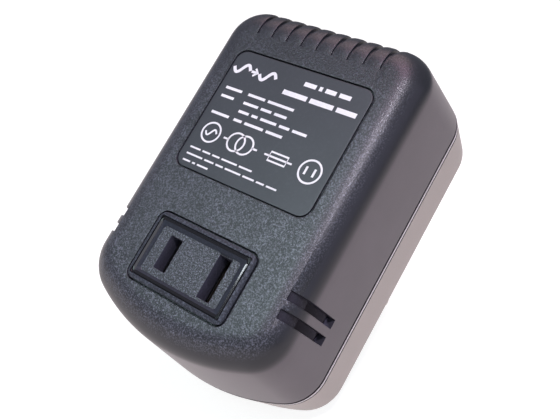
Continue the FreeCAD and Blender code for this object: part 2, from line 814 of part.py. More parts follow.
nodes = {
    "front_shell": front_shell(),
    "back_cover": back_cover(),
    "rating_plate": rating_plate(),
    "outlet_insert": outlet_insert(),
    "outlet_rear_cap": outlet_rear_cap(),
    "contact_narrow": contact("narrow"),
    "contact_wide": contact("wide"),
    "outlet_screws": outlet_screws(),
    "case_screws": case_screws(),
    "plug_pin_left": plug_pin(-1),
    "plug_pin_right": plug_pin(1),
    "pin_sleeve_left": pin_sleeve(-1),
    "pin_sleeve_right": pin_sleeve(1),
    "pin_retainer": pin_retainer(),
    "core_e_stack": core_e_stack(),
    "core_i_stack": core_i_stack(),
    "bobbin": bobbin(),
    "series_winding": winding(-1),
    "common_winding": winding(1),
    "series_tape": winding_tape(-1),
    "common_tape": winding_tape(1),
    "thermal_fuse": thermal_fuse(),
}
for lead_name in lead_points:
    nodes[lead_name] = lead(lead_name)

os.makedirs("parts", exist_ok=True)
for node_name, shape in nodes.items():
    shape.exportStep("parts/" + node_name + ".step")
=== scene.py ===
import math

import bmesh
import bpy
import numpy as np
from mathutils import Matrix, Vector
from mathutils.geometry import delaunay_2d_cdt


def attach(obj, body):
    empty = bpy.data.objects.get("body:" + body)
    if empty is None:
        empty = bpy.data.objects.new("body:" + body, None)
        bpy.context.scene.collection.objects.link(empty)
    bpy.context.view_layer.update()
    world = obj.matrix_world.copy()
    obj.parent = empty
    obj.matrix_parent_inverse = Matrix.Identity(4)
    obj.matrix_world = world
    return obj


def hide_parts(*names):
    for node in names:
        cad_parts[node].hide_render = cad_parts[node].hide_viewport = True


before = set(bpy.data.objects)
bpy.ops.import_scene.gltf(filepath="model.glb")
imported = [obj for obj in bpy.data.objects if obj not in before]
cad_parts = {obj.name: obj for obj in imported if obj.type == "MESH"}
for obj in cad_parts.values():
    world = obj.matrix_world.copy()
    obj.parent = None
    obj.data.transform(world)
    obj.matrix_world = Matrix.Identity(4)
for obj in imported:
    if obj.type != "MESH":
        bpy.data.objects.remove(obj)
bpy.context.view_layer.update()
scene = bpy.context.scene
scene.view_settings.view_transform = "Standard"

# Camera: stands low on the right of the converter and looks up at its front, outlet side and lower end.
camera_at = Vector((0.0892, -0.18309, -0.02782))
camera_forward = Vector((-0.5152, 0.8409, 0.1655)).normalized()
camera_up = Vector((-0.3479, -0.3817, 0.8563))
camera_lens, nearest = 49.68, 0.005
camera_right = camera_forward.cross(camera_up).normalized()
camera_turn = Matrix((camera_right, camera_right.cross(camera_forward), -camera_forward)).transposed()


def new_object(name, data):
    """Object of that name and data, put in the scene."""
    made = bpy.data.objects.new(name, data)
    scene.collection.objects.link(made)
    return made


camera = new_object("camera", bpy.data.cameras.new("camera"))
camera.data.lens = camera_lens
camera.data.clip_start = nearest
camera.matrix_world = Matrix.Translation(camera_at) @ camera_turn.to_4x4()
scene.camera = camera


# Front shell: the deep moulded half of the case, black ABS with a spark-eroded skin. One drafted wall that
# turns over a wide round edge into the flat front, with nine slits over the top edge, two vents over each
# side edge, a shallow recess for the plate and an opening for the outlet. Sizes are in millimetres.
half_width, top_z, bottom_z = 26.3, 40.25, -40.35
front_y, split_y, back_y = -56.5, -31.6, -17.0
side_draft, top_draft, bottom_draft, back_draft = np.tan(np.radians([2.0, 3.7, 7.8, 3.8]))
top_corner, bottom_corner, bottom_bow, front_round = 8.4, 9.4, 48.0, 5.9
wall, seam_gap, rim_soft, lip_reach, steep = 2.2, 0.5, 0.15, 2.0, 0.02
slit_half, slit_flare, slit_edge, slit_drop = 0.44, 0.26, 0.95, 0.24
slit_depth, slit_face_depth, slit_start, slit_end = 1.3, 0.45, 31.65, 16.0
slit_pitch, slits_each_side = 3.96, 4
vent_half, vent_depth, vent_face_depth, vent_start, vent_end, undercut = 1.0, 1.9, 0.6, 22.2, 15.8, 1.25
vent_centres = np.array([-16.83, -20.7])
edge_soft, edge_drop = 0.07, 0.1
recess_width, recess_height, recess_corner, recess_depth, recess_soft = 35.85, 29.95, 2.8, 0.5, 0.1
plate_z, moat, moat_depth = 11.95, 0.7, 1.1
opening_width, opening_height, opening_corner, opening_soft, outlet_z = 26.9, 16.2, 2.2, 0.08, -20.7
mark_z, mark_r, mark_line, mark_depth = -8.8, 2.55, 0.24, 0.02
to_metres = 0.001


def half_outline(y, inset, top_x, side_z, corner_steps=12, bow_steps=14):
    """Right half of the case's outline, top centre to bottom centre, a row for each depth y and inset.

    Flat top at the given x, corner arc, straight side at the given z, corner arc, shallow bottom arc. The
    drafts draw each side in by their tangent times the distance from the parting line.
    Returns points and outward normals, shape (rows, columns, 2).
    """
    run_front, run_back = np.maximum(split_y - y, 0), np.maximum(y - split_y, 0)
    side, top, bottom = (run_front * draft + run_back * back_draft
                         for draft in (side_draft, top_draft, bottom_draft))
    w = (half_width - side - inset)[:, None]
    zt = (top_z - top - inset)[:, None]
    rt, rb, bow = ((radius - inset)[:, None] for radius in (top_corner, bottom_corner, bottom_bow))
    bow_z = (bottom_z + bottom + inset)[:, None] + bow
    corner_x = w - rb
    corner_z = bow_z - np.sqrt((bow - rb) ** 2 - corner_x ** 2)
    meet = np.arctan2(corner_z - bow_z, corner_x)
    ones = np.ones((len(y), 1))

    def arc(cx, cz, r, angle):
        direction = np.stack([np.cos(angle), np.sin(angle)], -1)
        return np.stack([cx + 0 * angle, cz + 0 * angle], -1) + r[..., None] * direction, direction

    def straight(x, z, nx, nz):
        x, z = np.broadcast_arrays(x * ones, z * ones)
        return np.stack([x, z], -1), np.stack([np.full(x.shape, nx), np.full(x.shape, nz)], -1)

    turn = np.linspace(0, 1, corner_steps + 1)[None, :]
    bow_turn = np.linspace(0, 1, bow_steps + 1)[None, 1:]
    pieces = [straight(np.atleast_2d(top_x), zt, 0.0, 1.0),
              arc(w - rt, zt - rt, rt, (1 - turn) * math.pi / 2 * ones),
              straight(w, np.asarray(side_z)[None, :], 1.0, 0.0),
              arc(corner_x, corner_z, rb, meet * turn),
              arc(0 * bow_z, bow_z, bow, meet + (-math.pi / 2 - meet) * bow_turn)]
    return [np.concatenate(parts, 1) for parts in zip(*pieces)]


def full_outline(points, normals):
    """Closed outline from its right half: the left half is the mirror image, walked back up to the top."""
    flip = np.array([-1.0, 1.0])
    return [np.concatenate([half, (half * flip)[:, -2:0:-1]], 1) for half in (points, normals)]


def grid_quads(rows, cols, start=0, keep=None):
    """Corner numbers of the quads between rows of closed loops; keep marks the cells that stay."""
    r, c = np.meshgrid(np.arange(rows - 1), np.arange(cols), indexing="ij")
    if keep is not None:
        r, c = r[keep], c[keep]
    r, c = r.ravel(), c.ravel()
    nxt = (c + 1) % cols
    return start + np.stack([r * cols + c, r * cols + nxt, (r + 1) * cols + nxt, (r + 1) * cols + c], -1)


def bridge(here, there, layer):
    """Quads from the edges between numbered points, here to there, to the same edges one layer deeper."""
    return np.stack([here, there, layer + there, layer + here], -1)


def hole_walls(keep, layer, cols):
    """Quads that join two equal layers along every border between a kept cell and a missing one."""
    r, c = np.nonzero(keep != np.roll(keep, 1, 1))
    across = bridge(r * cols + c, (r + 1) * cols + c, layer)
    r, c = np.nonzero(keep[1:] != keep[:-1])
    return np.concatenate([across, bridge((r + 1) * cols + c, (r + 1) * cols + (c + 1) % cols, layer)])


def flat_fill(loops):
    """Triangles that fill a flat face at one depth between its outer loop and the loops of its holes.

    A triangle stays if a ray from its middle crosses no hole's loop an odd number of times.
    """
    points = np.concatenate(loops)
    ends = np.cumsum([len(loop) for loop in loops])
    edges = [(i, i + 1 if i + 1 < end else end - len(loop))
             for loop, end in zip(loops, ends) for i in range(end - len(loop), end)]
    flat, _, tris, _, _, _ = delaunay_2d_cdt([Vector(p) for p in points[:, ::2]], edges, [], 1, 1e-5)
    flat, tris = np.array(flat), np.array(tris)
    x, z = flat[tris].mean(1).T[..., None]
    inside = np.zeros(len(tris), bool)
    for loop in loops[1:]:
        ax, az = loop[:, 0], loop[:, 2]
        bx, bz = np.roll(ax, -1), np.roll(az, -1)
        rise = np.where(bz == az, 1.0, bz - az)
        crossed = ((az > z) != (bz > z)) & (x < ax + (z - az) * (bx - ax) / rise)
        inside |= crossed.sum(1) % 2 == 1
    return np.stack([flat[:, 0], np.full(len(flat), points[0, 1]), flat[:, 1]], -1), tris[~inside]


def sweep(loops):
    """Grid of quads through closed loops of equal length, as a profile carried round a path."""
    points = np.asarray(loops)
    return points.reshape(-1, 3), grid_quads(*points.shape[:2])


def make_piece(name, sheets, smooth=math.radians(32), same_point=2e-6, no_length=1e-7):
    """One closed mesh from sheets of points in millimetres and their faces; shared edges are merged."""
    shape = bmesh.new()
    for points, faces in sheets:
        part = bpy.data.meshes.new("sheet")
        part.from_pydata((np.asarray(points) * to_metres).tolist(), [], np.asarray(faces).tolist())
        shape.from_mesh(part)
        bpy.data.meshes.remove(part)
    bmesh.ops.remove_doubles(shape, verts=shape.verts, dist=same_point)
    bmesh.ops.dissolve_degenerate(shape, edges=shape.edges, dist=no_length)
    bmesh.ops.recalc_face_normals(shape, faces=shape.faces)
    mesh = bpy.data.meshes.new(name)
    shape.to_mesh(mesh)
    shape.free()
    mesh.polygons.foreach_set("use_smooth", np.ones(len(mesh.polygons), bool))
    mesh.set_sharp_from_angle(angle=smooth)
    piece = new_object(name, mesh)
    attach(piece, "root")
    return piece


def polygon_centres(piece):
    """Middle of each polygon in millimetres, as arrays of x, y and z."""
    centres = np.empty(3 * len(piece.data.polygons))
    piece.data.polygons.foreach_get("center", centres)
    return centres.reshape(-1, 3).T / to_metres


def give_materials(piece, materials, index=None):
    """Puts the materials on a piece; index says for each polygon which of them it shows."""
    for material in materials:
        piece.data.materials.append(material)
    if index is not None:
        piece.data.polygons.foreach_set("material_index", index.astype(np.int32))


def rounded_loop(width, height, radius, y, z=0.0, x=0.0, steps=8):
    """Closed rounded rectangle in the plane at depth y, with a quarter circle round each corner."""
    turn = np.linspace(0, math.pi / 2, steps + 1)
    angle = np.concatenate([turn + k * math.pi / 2 for k in range(4)])
    sx = np.repeat([1, -1, -1, 1], steps + 1)
    sz = np.repeat([1, 1, -1, -1], steps + 1)
    px = x + sx * (width / 2 - radius) + radius * np.cos(angle)
    pz = z + sz * (height / 2 - radius) + radius * np.sin(angle)
    return np.stack([px, np.full_like(px, y), pz], -1)


def circle_loop(radius, x, y, z, steps=32):
    """Closed circle in the plane at depth y."""
    angle = np.linspace(0, 2 * math.pi, steps, endpoint=False)
    return np.stack([x + radius * np.cos(angle), y + 0 * angle, z + radius * np.sin(angle)], -1)


def turned(profile, x, z, steps=32):
    """Profile of radius and depth pairs turned about the line through x, z along Y."""
    return sweep([circle_loop(radius, x, y, z, steps) for radius, y in profile])


def quarter(radius, steps):
    """Pairs along a quarter circle: the radius less its cosine part, and the radius less its sine part."""
    turn = np.linspace(0, math.pi / 2, steps)
    return list(zip(radius * (1 - np.cos(turn)), radius * (1 - np.sin(turn))))


def pocket(width, height, corner, z, soft, depth, margin=0.2):
    """Loops from the face into a pocket: a soft edge as a quarter circle, then its straight wall."""
    brim = soft + margin
    loops = [rounded_loop(width + 2 * brim, height + 2 * brim, corner + soft, front_y, z)]
    loops += [rounded_loop(width + 2 * grow, height + 2 * grow, corner + grow, front_y + fall, z)
              for fall, grow in quarter(soft, steps=4)]
    return loops + [rounded_loop(width, height, corner, front_y + depth, z)]


def groove_lines(centre, half, soft):
    """Grid lines across one groove: soft edge, wall and floor on both sides."""
    reach = [half - np.minimum(soft, edge_soft) / 2, half, half + soft / 2, half + soft]
    return [centre - out for out in reach[::-1]] + [centre + out for out in reach]


def groove_share(position, centres, half, soft, drop):
    """1 on a groove's floor, 0 outside; the upper edge falls by the share drop before the steep wall."""
    share = np.zeros_like(position)
    for centre in centres:
        out = np.abs(position - centre) - half
        rim = drop * (1 - np.clip(out / soft, 0, 1)) ** 2
        side = 1 - (1 - drop) * np.clip(1 + 2 * out / edge_soft, 0, 1)
        share = np.maximum(share, np.where(out > 0, rim, side))
    return share


# The shell's rows run from the parting line along the wall, over the round edge and onto the face.
slit_centres = slit_pitch * np.arange(slits_each_side + 1)
front_run = split_y - front_y
slit_inset = top_z - front_run * top_draft - slit_start
vent_turn = math.asin(1 - (half_width - front_run * side_draft - vent_start) / front_round)
edge_steps, turn_gap = 15, 0.012
edge_turns = np.concatenate([np.linspace(0, math.pi / 2, edge_steps), [vent_turn - turn_gap, vent_turn]])
edge_turns = np.sort(edge_turns)[::-1]
rim_y = split_y - seam_gap
lip_y = rim_y - lip_reach
wall_y = [rim_y, rim_y - rim_soft, lip_y, lip_y - steep, -35.5, front_y + slit_end, front_y + vent_end,
          -45.0, -48.0]
face_inset = [6.5, slit_inset - 0.05, slit_inset, 7.35]
row_y = np.concatenate([wall_y, front_y + front_round * (1 - np.cos(edge_turns)),
                        np.full(len(face_inset), front_y)])
row_inset = np.concatenate([np.zeros(len(wall_y)), front_round * (1 - np.sin(edge_turns)), face_inset])
row_inset[0] = rim_soft
row_turn = np.concatenate([np.full(len(wall_y), math.pi / 2), edge_turns, np.zeros(len(face_inset))])
row_wall = np.full(len(row_y), wall)
row_wall[:3] = wall / 2

# Columns run round the case, with lines along each slit and vent; the slits flare as the surface turns up.
turned_share = np.sin(row_turn)[:, None] ** 2
half_at = slit_half + slit_flare * turned_share
soft_at = edge_soft + (slit_edge - edge_soft) * turned_share
drop_at = edge_drop + (slit_drop - edge_drop) * turned_share
slit_lines = [np.zeros_like(half_at)] + groove_lines(0.0, half_at, soft_at)[4:]
for centre in slit_centres[1:]:
    slit_lines += groove_lines(centre, half_at, soft_at)
slit_x = np.concatenate(slit_lines, 1)
vent_z = [line for centre in vent_centres for line in groove_lines(centre, vent_half, edge_soft)]
side_z = np.array([24.0, 10.0, -4.0] + sorted(vent_z, reverse=True))
half_points, half_normals = half_outline(row_y, row_inset, slit_x, side_z)
# Below the outlet the flat face is narrow, so its rows stand closer together there than at the top.
tight_share, past_edge = 0.2, row_inset - front_round
tight_inset = np.where(past_edge > 0, front_round + tight_share * past_edge, row_inset)
tight_points, _ = half_outline(row_y, tight_inset, slit_x, side_z)
half_points = np.where(half_normals[..., 1:] < -0.01, tight_points, half_points)
outline_points, outline_normals = full_outline(half_points, half_normals)
rows, cols = outline_points.shape[:2]
layer = rows * cols


def shell_layer(depth):
    """The case surface moved in by depth along its own normal."""
    s, c = np.sin(row_turn)[:, None], np.cos(row_turn)[:, None]
    x = outline_points[..., 0] - depth * outline_normals[..., 0] * s
    z = outline_points[..., 1] - depth * outline_normals[..., 1] * s
    y = row_y[:, None] + depth * c + 0 * x
    return np.stack([x, y, z], -1)


def cut_cells(on_straight, across, centres, half, end):
    """Cells between a groove's walls from the round edge to its end, where it goes right through."""
    middle = (across + np.roll(across, -1)) / 2
    columns = np.abs(middle[:, None] - centres).min(1) < half - edge_soft / 3
    cell_y = (row_y[1:] + row_y[:-1]) / 2
    cell_rows = (cell_y > front_y + front_round) & (cell_y < front_y + end)
    return cell_rows[:, None] & on_straight & np.roll(on_straight, -1) & columns


hair, level = 1e-6, 0.999
x_at, z_at = outline_points[..., 0], outline_points[..., 1]
on_top = outline_normals[..., 1] > level
on_side = np.abs(outline_normals[..., 0]) > level
past_start = (row_inset <= slit_inset)[:, None] & (row_y <= front_y + slit_end + hair)[:, None]
slit_share = groove_share(np.abs(x_at), slit_centres, half_at, soft_at, drop_at) * on_top * past_start
slit_floor = slit_depth - (slit_depth - slit_face_depth) * np.cos(row_turn)[:, None]
past_vent = (row_turn >= vent_turn - hair)[:, None] & (row_y <= front_y + vent_end + hair)[:, None]
vent_share = groove_share(z_at, vent_centres, vent_half, edge_soft, edge_drop) * on_side * past_vent
vent_floor = vent_face_depth + (vent_depth - vent_face_depth) * np.sin(row_turn)[:, None] ** 4
groove = slit_share * slit_floor + vent_share * vent_floor
outer_layer = shell_layer(groove)
inner_layer = shell_layer(row_wall[:, None] + 0 * groove)
inner_layer[..., 1] += undercut * (vent_share > 0.5) * (row_y > front_y + front_round)[:, None]
keep = ~(cut_cells(on_top[0], np.abs(x_at[0]), slit_centres, half_at[0], slit_end)
         | cut_cells(on_side[0], z_at[0], vent_centres, vent_half, vent_end))
rim = np.arange(cols)
shell_quads = np.concatenate([
    grid_quads(rows, cols, 0, keep), grid_quads(rows, cols, layer, keep), hole_walls(keep, layer, cols),
    bridge(rim, np.roll(rim, -1), layer)])
shell_points = np.concatenate([outer_layer.reshape(-1, 3), inner_layer.reshape(-1, 3)])

recess = pocket(recess_width, recess_height, recess_corner, plate_z, recess_soft, moat_depth)
recess += [rounded_loop(recess_width - 2 * moat, recess_height - 2 * moat, recess_corner - moat,
                        front_y + depth, plate_z) for depth in (moat_depth, recess_depth)]
opening = pocket(opening_width, opening_height, opening_corner, outlet_z, opening_soft, wall)
mark_rows = [(mark_r + lines * mark_line, front_y + depth) for lines, depth in (
    (2, 0), (1, 0), (0, 0), (-1 / 3, mark_depth), (-2 / 3, mark_depth), (-1, 0), (-2, 0))]
mark_out, mark_in = mark_rows[0][0], mark_rows[-1][0]
front_piece = make_piece("front_case", [
    (shell_points, shell_quads),
    flat_fill([outer_layer[-1], recess[0], opening[0], circle_loop(mark_out, 0.0, front_y, mark_z)]),
    turned(mark_rows, 0.0, mark_z), flat_fill([circle_loop(mark_in, 0.0, front_y, mark_z)]),
    sweep(recess), flat_fill([recess[-1]]),
    sweep(opening), flat_fill([inner_layer[-1], opening[-1]])])
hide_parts("front_shell")


def add_node(tree, kind, inputs, **settings):
    """Shader node with its settings; each input gets a value, or a link from another node's output."""
    made = tree.nodes.new("ShaderNode" + kind)
    for setting, value in settings.items():
        setattr(made, setting, value)
    for socket, value in inputs.items():
        if isinstance(value, bpy.types.NodeSocket):
            tree.links.new(value, made.inputs[socket])
        else:
            made.inputs[socket].default_value = value
    return made


def remap(tree, value, low, high, first=0.0, last=1.0, **settings):
    """The value's place between low and high, as a number between first and last."""
    return add_node(tree, "MapRange", {"Value": value, "From Min": low, "From Max": high, "To Min": first,
                                       "To Max": last}, **settings).outputs["Result"]


def mix(tree, share, low, high):
    """The number low where the share is 0, high where it is 1."""
    return add_node(tree, "Mix", {0: share, 2: low, 3: high}).outputs[0]


def mix_colour(tree, share, low, high):
    """The colour low where the share is 0, high where it is 1."""
    return add_node(tree, "Mix", {0: share, 6: low, 7: high}, data_type="RGBA").outputs[2]


def node_group(name, colours, numbers, vectors=()):
    """Node group that takes these named values and puts out a colour, a roughness and a height."""
    group = bpy.data.node_groups.new(name, "ShaderNodeTree")
    for kind, inputs, outputs in (("Color", colours, ["Colour"]),
                                  ("Float", numbers, ["Roughness", "Height"]),
                                  ("Vector", vectors, [])):
        for socket in inputs:
            group.interface.new_socket(socket, in_out="INPUT", socket_type="NodeSocket" + kind)
        for socket in outputs:
            group.interface.new_socket(socket, in_out="OUTPUT", socket_type="NodeSocket" + kind)
    return group, group.nodes.new("NodeGroupInput").outputs, group.nodes.new("NodeGroupOutput").inputs


skin_numbers = ("Pit scale", "Painted glints", "Rough grain", "Rough peak", "Rough smooth", "Fade from", "Fade to",
                "Tone from", "Tone to", "Sparse from", "Sparse to", "Sparse share")
noise_low, noise_high = 0.3, 0.7
peak_low, peak_high, peak_power = 0.38, 0.68, 2.2
broad_scale, least_shade, most_shade = 90.0, 0.93, 1.07
sheen_from, sheen_to = 0.32, 0.52


def skin_group():
    """Node group for a spark-eroded plastic skin that fades to a smooth one: colour, roughness and height.

    A noise of pit size makes the height; its peaks are glossier and carry painted glints, pale specks that
    lift the colour, its pits darker. The share of the grain falls from 1 to 0 between two depths along Y,
    the share of the grain's colour between two others, the painted glints fall to the sparse share between
    two heights along Z, and a broad noise shifts the colour a little.
    """
    group, given, result = node_group("eroded_skin", ("Colour", "Smooth colour"), skin_numbers)

    def fall(axis, ends, last):
        """1 before the first of two places on an axis, the last value behind the second, smooth between."""
        return remap(group, axes.outputs[axis], given[ends + " from"], given[ends + " to"], 1.0, last,
                     interpolation_type="SMOOTHSTEP")

    def maths(operation, *values):
        return add_node(group, "Math", dict(enumerate(values)), operation=operation).outputs[0]

    place = add_node(group, "TexCoord", {}).outputs["Object"]
    axes = add_node(group, "SeparateXYZ", {0: place})
    pits = add_node(group, "TexNoise", {
        "Vector": place, "Scale": given["Pit scale"], "Detail": 2.0, "Roughness": 0.6}).outputs["Fac"]
    broad = add_node(group, "TexNoise", {
        "Vector": place, "Scale": broad_scale, "Detail": 2.0}).outputs["Fac"]
    fade, tone = fall("Y", "Fade", 0.0), fall("Y", "Tone", 0.0)
    sparse = fall("Z", "Sparse", given["Sparse share"])
    peak = maths("POWER", remap(group, pits, peak_low, peak_high), peak_power)
    shade = remap(group, broad, noise_low, noise_high, least_shade, most_shade)
    # Painted glints: the peaks of the pit noise lift the colour, less above the sparse heights.
    painted_glint_lift = maths("MULTIPLY", peak, maths("MULTIPLY", given["Painted glints"], sparse))
    blend = mix_colour(group, tone, given["Smooth colour"], given["Colour"])
    tint = add_node(group, "VectorMath", {0: blend, "Scale": maths("MULTIPLY_ADD", painted_glint_lift, fade, shade)},
                    operation="SCALE")
    grain_rough = mix(group, peak, given["Rough grain"], given["Rough peak"])
    group.links.new(tint.outputs[0], result["Colour"])
    group.links.new(mix(group, fade, given["Rough smooth"], grain_rough), result["Roughness"])
    group.links.new(maths("MULTIPLY", pits, fade), result["Height"])
    return group


def grouped_material(name, group, values, relief, metallic=0.0, specular=0.5):
    """Material whose shader takes colour, roughness and a bump, its relief in millimetres, from a group."""
    material = bpy.data.materials.new(name)
    material.use_nodes = True
    tree = material.node_tree
    surface = add_node(tree, "Group", values, node_tree=group).outputs
    bump = add_node(tree, "Bump", {"Distance": relief * to_metres, "Height": surface["Height"]})
    shader = tree.nodes["Principled BSDF"].inputs
    shader["Metallic"].default_value = metallic
    shader["Specular IOR Level"].default_value = specular
    tree.links.new(surface["Colour"], shader["Base Color"])
    tree.links.new(surface["Roughness"], shader["Roughness"])
    tree.links.new(bump.outputs["Normal"], shader["Normal"])
    return material


eroded_skin = skin_group()


def plastic(name, colour, rough, relief, painted_glints, pits=2600.0, smooth_colour=None, fade=(1.0, 2.0),
            tone=(1.0, 2.0), sparse=(1.0, 2.0, 1.0), specular=0.5, painted_sheen=None):
    """Moulded plastic with the eroded skin: rough holds the roughness of grain, peaks and smooth walls.

    With a sheen colour the surface turns towards it where it is seen at a shallow angle: a painted sheen.
    """
    values = dict(zip(skin_numbers, (pits, painted_glints, *rough, *fade, *tone, *sparse)))
    values.update({"Colour": (*colour, 1), "Smooth colour": (*(smooth_colour or colour), 1)})
    material = grouped_material(name, eroded_skin, values, relief, specular=specular)
    if painted_sheen:
        # Painted sheen: the colour turns paler where the surface is seen at a shallow angle.
        tree = material.node_tree
        base = tree.nodes["Principled BSDF"].inputs["Base Color"]
        facing = add_node(tree, "LayerWeight", {"Blend": 0.5}).outputs["Facing"]
        shallow = remap(tree, facing, sheen_from, sheen_to)
        tree.links.new(mix_colour(tree, shallow, base.links[0].from_socket, (*painted_sheen, 1)), base)
    return material


fx, fy, fz = polygon_centres(front_piece)
vent_depths = (np.abs(fx) > vent_start - 0.1) & (fy < front_y + vent_end + 0.1)
# The face shows the grain with painted glints, weaker towards the top. The walls take a smooth colour paler
# than the face's grain: a real smooth finish, made paler to paint the light they catch at a shallow angle.
# The vents' inner walls get a darker copy of the plastic: painted shade.
give_materials(front_piece, [
    plastic("front_abs", (0.021, 0.0225, 0.0273), (0.36, 0.2, 0.34), relief=0.06, painted_glints=6.3, pits=3300.0,
            smooth_colour=(0.1, 0.089, 0.099), fade=[(front_y + depth) * to_metres for depth in (0.3, 2.6)],
            tone=[(front_y + depth) * to_metres for depth in (3.9, 6.7)], sparse=(0.014, 0.036, 0.28)),
    plastic("front_vent_painted_shade", (0.035, 0.034, 0.045), (0.6, 0.5, 0.6), relief=0.02, painted_glints=0.5, specular=0.15)],
    (np.abs(fz[:, None] - vent_centres).min(1) < vent_half - 0.005) & vent_depths)


# Rear cover: the shallow half of the case, same plastic a little paler and with a painted sheen where it is
# seen at a shallow angle, with a bead and a fine line behind the parting line, four screw wells, and the
# long plug boss with cut corners that reaches into the wall socket. It slips into the front shell with a lip
# all round.
cover_inner_y, back_round, lip_inset = back_y - wall, 2.1, wall / 2 + 0.1
bead, bead_round, line_width, line_depth = 0.95, 0.12, 0.34, 0.3
well_r, well_wall, well_brim, screw_hole, seat_y = 2.75, 1.0, 0.6, 1.7, split_y + 2.5
screw_places = [(sx * 19.1, z) for sx in (-1, 1) for z in (33.2, -29.35)]
boss_width, boss_tall, boss_chamfer, boss_corner, boss_end, boss_round = 35.3, 13.7, 4.6, 1.2, 3.0, 0.6
pin_x, bore_r, bore_brim, stake_x, stake_r = 9.5, 1.9, 0.4, 3.4, 1.1


def boss_loop(inset, y, least_corner=0.3, steps=4):
    """Long rectangle with cut corners in the plane at depth y, each of its eight corners a small arc.

    Each arc's centre lies on the line that halves its corner, the radius over the half angle's sine away.
    """
    w, h = boss_width / 2 - inset, boss_tall / 2 - inset
    c = boss_chamfer - inset * (2 - math.sqrt(2))
    tips = np.array([(w, c - h), (w, h - c), (w - c, h), (c - w, h),
                     (-w, h - c), (-w, c - h), (c - w, -h), (w - c, -h)])
    before, after = np.roll(tips, 1, 0) - tips, np.roll(tips, -1, 0) - tips
    before /= np.linalg.norm(before, axis=1)[:, None]
    after /= np.linalg.norm(after, axis=1)[:, None]
    middle = (before + after) / np.linalg.norm(before + after, axis=1)[:, None]
    half = np.arccos(np.clip((before * after).sum(1), -1, 1)) / 2
    r = max(boss_corner - inset, least_corner)
    centre = tips + middle * (r / np.sin(half))[:, None]
    opened = math.pi - 2 * half
    start = np.arctan2(-middle[:, 1], -middle[:, 0]) - opened / 2
    angle = start[:, None] + opened[:, None] * np.linspace(0, 1, steps + 1)
    px = centre[:, :1] + r * np.cos(angle)
    pz = centre[:, 1:] + r * np.sin(angle)
    return np.stack([px.ravel(), np.full(px.size, y), pz.ravel()], -1)


# The cover's rows as depth and inset: inside of the back, lip, bead, fine line, side and round back edge.
line_start = split_y + bead
line_end = line_start + line_width
cover_rows = [(cover_inner_y, wall + 1.0), (cover_inner_y, wall + 0.5), (cover_inner_y - 0.5, wall),
              (split_y, wall), (lip_y, wall), (lip_y, lip_inset + 0.2), (lip_y + 0.2, lip_inset),
              (split_y, lip_inset), (split_y, bead_round + 0.1)]
cover_rows += [(split_y + rise, draw) for rise, draw in quarter(bead_round, steps=6)]
cover_rows += [(line_start - 0.12, 0.0), (line_start - 0.03, 0.03), (line_start, 0.1),
               (line_start + steep, line_depth), (line_end - steep, line_depth), (line_end, 0.05),
               (line_end + 0.05, 0.0), (line_end + 0.4, 0.0), (-27.0, 0.0), (-23.0, 0.0)]
cover_rows += [(back_y - rise, draw) for rise, draw in quarter(back_round, steps=8)[::-1]]
cover_rows.append((back_y, back_round + 0.6))
cover_y, cover_inset = np.array(cover_rows).T
top_lines, side_lines = np.array([0.0, 5.0, 10.0, 15.0]), np.array([24.0, 8.0, -8.0, -22.0])
cover_points, _ = full_outline(*half_outline(cover_y, cover_inset, top_lines, side_lines))
cover_depths = np.broadcast_to(cover_y[:, None], cover_points.shape[:2])
cover_loops = np.stack([cover_points[..., 0], cover_depths, cover_points[..., 1]], -1)
well_rows = [(well_r + well_brim, back_y), (well_r + 0.3, back_y), (well_r + 0.09, back_y - 0.09),
             (well_r, back_y - 0.3), (well_r, seat_y), (screw_hole, seat_y), (screw_hole, split_y),
             (well_r + well_wall, split_y), (well_r + well_wall, cover_inner_y)]
boss_rows = [boss_loop(inset, back_y + rise)
             for inset, rise in ((-0.8, 0), (-0.5, 0), (-0.15, 0.15), (0, 0.5))]
boss_rows += [boss_loop(inset, -fall) for inset, fall in quarter(boss_round, steps=6)] + [boss_loop(0.9, 0)]
cavity_rows = [boss_loop(2.0, y) for y in (cover_inner_y, -boss_end)]
bore_rows = [(bore_r + bore_brim, 0), (bore_r + 0.15, 0), (bore_r, -0.15), (bore_r, -boss_end)]
stake_rows = [(stake_r, -boss_end), (stake_r, -7.0), (1.9, -7.0), (1.9, -7.4), (1.75, -7.65), (1.4, -7.8),
              (0.001, -7.8)]


def pair(radius, x, y):
    """Two circles at one depth, the same distance left and right of the middle."""
    return [circle_loop(radius, sx * x, y, 0) for sx in (-1, 1)]


cover_piece = make_piece("rear_cover", [
    sweep(cover_loops),
    flat_fill([cover_loops[-1], boss_rows[0]]
              + [circle_loop(well_r + well_brim, x, back_y, z) for x, z in screw_places]),
    flat_fill([cover_loops[0], cavity_rows[0]]
              + [circle_loop(well_r + well_wall, x, cover_inner_y, z) for x, z in screw_places]),
    sweep(boss_rows), sweep(cavity_rows),
    flat_fill([boss_rows[-1]] + pair(bore_r + bore_brim, pin_x, 0)),
    flat_fill([cavity_rows[-1]] + pair(bore_r, pin_x, -boss_end) + pair(stake_r, stake_x, -boss_end))]
    + [turned(well_rows, x, z) for x, z in screw_places]
    + [turned(bore_rows, sx * pin_x, 0) for sx in (-1, 1)]
    + [turned(stake_rows, sx * stake_x, 0) for sx in (-1, 1)])
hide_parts("back_cover")
_, fy, _ = polygon_centres(cover_piece)
seam_end = split_y + 0.05
seam_painted_shade = (fy < seam_end) | (fy > line_start) & (fy < line_end)
bead_painted_highlight = (fy > seam_end) & (fy < line_start)
